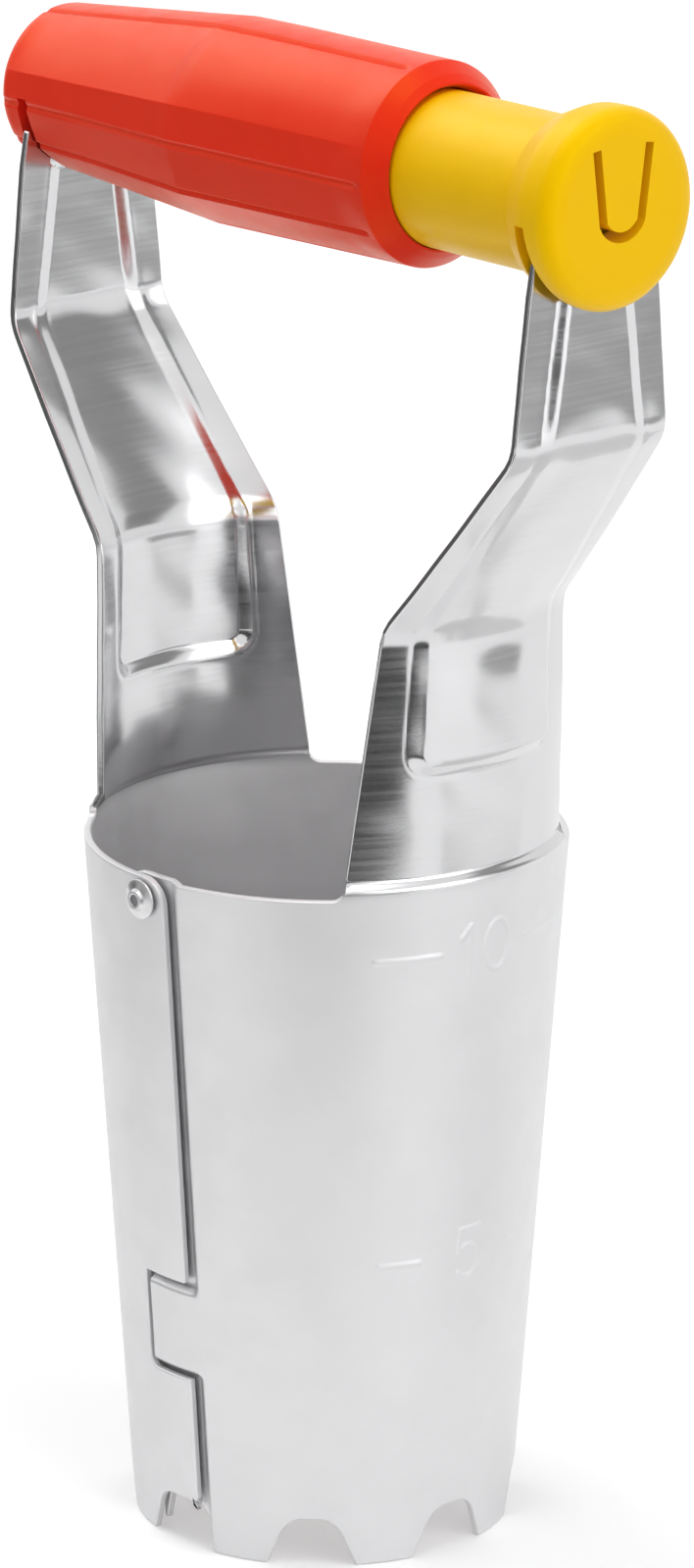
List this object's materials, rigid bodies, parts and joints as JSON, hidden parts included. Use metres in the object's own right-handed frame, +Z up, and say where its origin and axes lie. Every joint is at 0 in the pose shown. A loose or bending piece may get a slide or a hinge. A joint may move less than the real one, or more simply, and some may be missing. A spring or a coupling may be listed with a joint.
{
  "type": "hand planter",
  "caption": "Hand planter with a tapered, toothed steel tube in two hinged halves, whose arms rise to a squeeze handle that swings the tube open to drop the soil.",
  "frame": {"origin": "on the tube's axis, in the plane of the tooth tips that it stands on", "axes": "+Z up along the tube's axis, +X along the handle towards the plunger's end cap, +Y along the hinge axis, away from the pictured seam"},
  "size_m": [0.1275, 0.0778, 0.2341],
  "materials": {
    "steel": "zinc plated sheet, satin tube and shinier bent arms",
    "rivet": "plain rivet body",
    "mandrel": "broken stub",
    "grip": "satin red moulding",
    "plunger": "satin yellow moulding",
    "spring": "drawn wire"
  },
  "bodies": {
    "right": {"right_half": "steel", "front_rivet": "rivet", "rear_rivet": "rivet", "front_mandrel": "mandrel", "rear_mandrel": "mandrel"},
    "left": {"left_half": "steel"},
    "grip": {"grip": "grip", "return_spring": "spring"},
    "plunger": {"plunger": "plunger"}
  },
  "joints": [
    {"name": "halves", "type": "hinge", "parent": "right", "child": "left", "pos_m": [0, 0, 0.1064], "axis": [0, 1, 0], "range_deg": [0, 12], "stiffness_Nm_per_rad": 7.3, "springref_deg": -17.19},
    {"name": "grip_tilt", "type": "hinge", "parent": "left", "child": "grip", "pos_m": [-0.0576, 0, 0.218], "axis": [0, 1, 0], "range_deg": [-6, 0]},
    {"name": "plunger_slide", "type": "slide", "parent": "grip", "child": "plunger", "axis": [-1, 0, 0], "range_m": [0, 0.02398], "deforming": ["return_spring"]}
  ],
  "couplings": [
    {"joint": "grip_tilt", "follows": "halves", "ratio": -0.5},
    {"joint": "plunger_slide", "follows": "halves", "m_per_rad": 0.11441}
  ]
}
